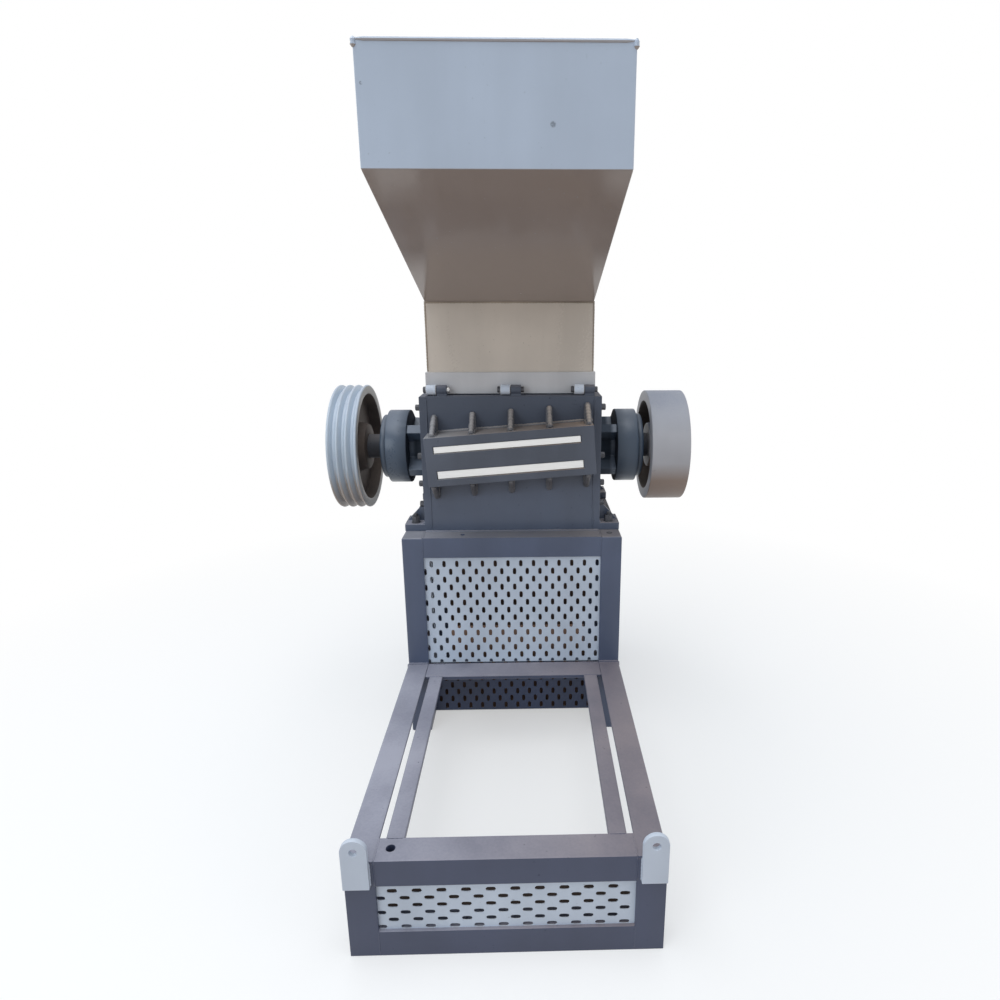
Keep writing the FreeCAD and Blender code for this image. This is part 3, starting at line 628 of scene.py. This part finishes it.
# The bearings: cast housings on a cross of ribs, one on each side plate, in slate enamel tinted bluish as
# painted sky light. Six screws hold each cover, and a rubber seal keeps the dust off the shaft.
def bearing_shade(paint):
    """Painted shade at the root round the shaft, on what faces the chamber, and over the right housing's
    root.
    """
    x = paint.along("X")
    root = ((0.372 - x.size()) * 80.0).clip() * ((0.093 - from_axis(paint)) * 60.0).clip()
    facing_in = (paint.along("X", "Normal") * x * -6.0).clip()
    return root + facing_in + ((0.372 - x) * 80.0).clip() * (x * 9.0).clip() * 0.8


bearing_paint_sky_tinted = enamel("bearing_enamel_sky_tinted", (0.057, 0.086, 0.132), (0.155, 0.18, 0.225), 0.55, 0.30,
                       spread=0.15, painted_shade=bearing_shade)
for side in ("left", "right"):
    dress(f"bearing_housing_{side}", bearing_paint_sky_tinted, 0.003, 2, False)
    dress(f"bearing_cover_{side}", bearing_paint_sky_tinted, 0.005, 3)
cover_x, bolt_circle = 0.484, 0.098
fittings, seals = bmesh.new(), bmesh.new()
for side in (-1, 1):
    for k in range(6):
        turn = math.radians(60 * k + 12)
        spot = (side * cover_x, axis_y + bolt_circle * math.cos(turn),
                axis_z + bolt_circle * math.sin(turn))
        turned(fittings, [(-0.002, 0.0085), (0.001, 0.0085), (0.0018, 0.0075), (0.0018, 0.0042),
                          (-0.001, 0.004), (-0.001, 0.0004)], spot, (side, 0, 0), 20, False)
    turned(seals, [(0.0, 0.054), (0.004, 0.054), (0.005, 0.052), (0.005, 0.046), (-0.002, 0.046)],
           (side * (cover_x - 0.001), axis_y, axis_z), (side, 0, 0), 48, False)
made("bearing_bolts", fittings, bearing_paint_sky_tinted, "machine")
rubber, _ = bare("seal_rubber", 0.0, (300.0, 2.0), (0.018, 0.018, 0.02), (0.04, 0.04, 0.043), 0.2, 0.5)
made("shaft_seals", seals, rubber, "machine")

# The rotor inside: a welded steel body with three hardened knives, turning on its shaft over a curved
# screen. The drum and the screen are dull steel, the knives ground, and the shaft is painted.
dull, _ = bare("dull_steel", 0.75, (18.0, 6.0), (0.14, 0.13, 0.12), (0.32, 0.31, 0.30), 0.35, 0.35)
dull.relief(dull.noise(140.0, 3.0), 0.0004)
dress("rotor_drum", dull, 0.003, 2)
dress("screen", dull, 0.001, 1)
for k in (1, 2, 3):
    dress(f"rotor_knife_{k}", ground, 0.001, 1)
shaft_paint = enamel("shaft_enamel", (0.085, 0.09, 0.105), (0.16, 0.15, 0.15), 0.4, 0.34, spread=0.2)
dress("rotor_shaft", shaft_paint, 0.003, 2)

# The belt pulley: grey iron, turned with three grooves and round crests, painted pale on the rim and
# the outside; the pale is tinted bluish as painted sky light, and brown below as painted ground
# reflection. The hollow behind the web is bare iron, brown with age.
iron, _ = bare("bare_iron", 0.2, (12.0, 6.0), (0.032, 0.027, 0.025), (0.20, 0.155, 0.13), 0.3, 0.5)
iron.relief(iron.noise(90.0, 4.0), 0.0008)


def arc(middle, radius, start, stop, count):
    """Points on a small round, as (along, radius) pairs, between two angles in degrees."""
    angles = [math.radians(start + (stop - start) * k / count) for k in range(count + 1)]
    return [(middle[0] + radius * math.cos(a), middle[1] + radius * math.sin(a)) for a in angles]


def wheel(name, node, finishes, outlines):
    """A turned wheel in place of the node; each outline is a loop with its own material number."""
    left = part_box(node)[0].x
    bm = bmesh.new()
    for number, outline in outlines:
        for face in turned(bm, outline, (left, axis_y, axis_z), (1, 0, 0), 120, False):
            face.material_index = number
    bmesh.ops.remove_doubles(bm, verts=bm.verts, dist=1e-6)
    piece = made(name, bm, finishes, "rotor", 30)
    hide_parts(node)


pulley_paint_sky_tinted = enamel("pulley_enamel_sky_tinted", (0.46, 0.53, 0.61), (0.40, 0.42, 0.48), 0.3, 0.36, spread=0.09,
                      underside_shade_and_reflection=(0.35, 0.285, 0.235))
rim, groove, pitch, width, crest = 0.231, 0.019, 0.0318, 0.105, 0.0048
crests = []
for k in range(4):
    middle = crest + k * pitch
    if k:
        crests += [(middle - pitch / 2 + 0.0035, rim - groove)]
    crests += arc((middle, rim - crest), crest, 150 if k else 178, 90, 4)
    crests += arc((middle, rim - crest), crest, 90, 30 if k < 3 else 2, 4)
    if k < 3:
        crests += [(middle + pitch / 2 - 0.0035, rim - groove)]
outside = [(0.0, 0.192), (0.0, 0.200)] + crests
lip = [crests[-1], (width, 0.204), (width - 0.0015, 0.199)]
inside = [(width - 0.0015, 0.199), (0.068, 0.193), (0.064, 0.189), (0.064, 0.098), (0.068, 0.092),
          (0.099, 0.084), (0.101, 0.080), (0.101, 0.046), (0.098, 0.045)]
hollow = [(0.004, 0.045), (0.002, 0.047), (0.002, 0.082), (0.006, 0.085), (0.040, 0.088), (0.042, 0.092),
          (0.042, 0.182), (0.036, 0.187), (0.0, 0.192)]
lip_paint = enamel("pulley_lip_enamel", (0.40, 0.385, 0.36), (0.36, 0.34, 0.32), 0.4, 0.42, spread=0.12)
wheel("belt_pulley_wheel", "belt_pulley", [pulley_paint_sky_tinted, iron, lip_paint],
      [(0, outside), (2, lip), (1, inside), (0, hollow)])

# The flywheel: a heavy iron ring on a web, faced and turned, on the right end of the shaft. It is
# painted pale, with a bare, dark hollow on the inner side.
rim, edge = 0.206, 0.003
outside = [(0.0, 0.168), (0.0, rim - edge)] + arc((edge, rim - edge), edge, 180, 90, 3)
outside += arc((0.135, rim - edge), edge, 90, 0, 3)
outside += [(0.138, 0.168), (0.135, 0.165), (0.085, 0.156), (0.080, 0.152), (0.080, 0.092),
            (0.084, 0.087), (0.134, 0.085), (0.138, 0.081), (0.138, 0.047), (0.136, 0.045)]
inside = [(0.058, 0.088), (0.058, 0.152), (0.052, 0.157), (0.003, 0.165), (0.0, 0.168)]
hub = [(0.012, 0.045), (0.012, 0.047), (0.012, 0.080), (0.014, 0.083), (0.050, 0.085), (0.058, 0.088)]
# Painted light: its top is a darker bluish grey, as shade and sky light, and its underside brown, as
# painted ground reflection.
flywheel_paint = enamel("flywheel_enamel", (0.41, 0.41, 0.44), (0.20, 0.22, 0.28), 0.70, 0.40,
                        spread=0.07, underside_shade_and_reflection=(0.25, 0.175, 0.13))
wheel("flywheel_ring", "flywheel", [flywheel_paint, iron], [(0, outside), (1, inside), (0, hub)])

# The hopper: folded and welded 5 mm sheet in glossy off-white, with a welded foot collar, a rolled top
# edge and three knuckle hinges on the collar's front.
low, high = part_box("hopper_mouth")
scars = (((low.x + 0.703 * (high.x - low.x), low.y, 1.881), 0.007),
         ((low.x + 0.012, low.y, 1.955), 0.004))
# Painted light: the mouth and floor enamel is tinted bluish as sky light, and brown below as ground
# reflection.
off_white_sky_tinted = enamel("hopper_enamel_sky_tinted", (0.41, 0.475, 0.58), (0.46, 0.47, 0.50), 0.3, 0.16, 0.00006, 0.05,
                   underside_shade_and_reflection=(0.33, 0.27, 0.235), marks=scars)
# Painted shade: the neck's copy of the enamel is beige, for the shade under the hopper lit by warm ground
# light.
neck_white_shaded = enamel("neck_enamel_shaded", (0.53, 0.47, 0.41), (0.50, 0.48, 0.46), 0.4, 0.30, 0.0001, 0.08)
collar_white = enamel("collar_enamel", (0.50, 0.495, 0.51), (0.50, 0.49, 0.48), 0.4, 0.34, 0.0001, 0.12)
for node in ("hopper_mouth", "hopper_floor"):
    dress(node, off_white_sky_tinted, 0.0016, 2)
dress("hopper_neck", neck_white_shaded, 0.0015, 2)
dress("hopper_collar", collar_white, 0.002, 2)
rim_bm, inset = bmesh.new(), 0.001
x_ends, y_ends = (low.x + inset, high.x - inset), (low.y + inset, high.y - inset)
corners = [(x_ends[0], y_ends[0]), (x_ends[1], y_ends[0]), (x_ends[1], y_ends[1]), (x_ends[0], y_ends[1])]
for k, a in enumerate(corners):
    b = corners[(k + 1) % 4]
    bead(rim_bm, (*a, high.z - 0.003), (*b, high.z - 0.003), 0.0042, 80 + k, 0.02, 0.04)
    bead(rim_bm, (*a, high.z - 0.018), (*a, high.z + 0.001), 0.0058, 85 + k, 0.004, 0.2)
made("hopper_rim", rim_bm, off_white_sky_tinted, "hopper")
neck_low, neck_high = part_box("hopper_neck")
seams = bmesh.new()
for x in (neck_low.x, neck_high.x):
    bead(seams, (x, neck_low.y, neck_high.z), (x, neck_high.y, neck_high.z), 0.0035, 90)
    bead(seams, (x, neck_low.y, neck_low.z + 0.074), (x, neck_low.y, neck_high.z), 0.0026, 91)
bead(seams, (neck_low.x, neck_low.y, neck_high.z), (neck_high.x, neck_low.y, neck_high.z), 0.004, 92)
weld_brown = enamel("neck_weld", (0.30, 0.25, 0.20), (0.4, 0.36, 0.3), 0.5, 0.45, 0.0004, 0.3)
made("neck_welds", seams, weld_brown, "hopper")

# The three hinges: bushes of pale enamel on the hopper's knuckles, and pins of round bar, worn bright
# where they were cut.
pin_steel, _ = bare("pin_steel", 0.9, (120.0, 4.0), (0.35, 0.35, 0.36), (0.75, 0.75, 0.74), 0.3, 0.2)
hinge_x, hinge_y, hinge_z = 0.250, side_low.y + 0.014, 1.252
pin_out = 0.0085
bushes, bright, dark = bmesh.new(), bmesh.new(), bmesh.new()
for x in (-hinge_x, 0.0, hinge_x):
    turned(bushes, [(0.0, 0.0135), (0.0005, 0.0155), (0.002, 0.0168), (0.031, 0.0168), (0.0325, 0.0155),
                    (0.033, 0.0135)], (x - 0.0345, hinge_y, hinge_z), (1, 0, 0), 36)
    for bm, way, radius in ((dark, -1, 0.0110), (bright if x < 0 else dark, 1, 0.0098)):
        turned(bm, [(-0.003, radius), (pin_out - 0.002, radius), (pin_out, radius - 0.0018),
                    (pin_out, 0.0004)], (x + way * 0.0365, hinge_y, hinge_z), (way, 0, 0), 28)
made("hinge_bushes", bushes, pale, "hopper")
made("hinge_pin_ends", bright, pin_steel, "machine")
made("hinge_pin_heads", dark, bolt_steel, "machine")
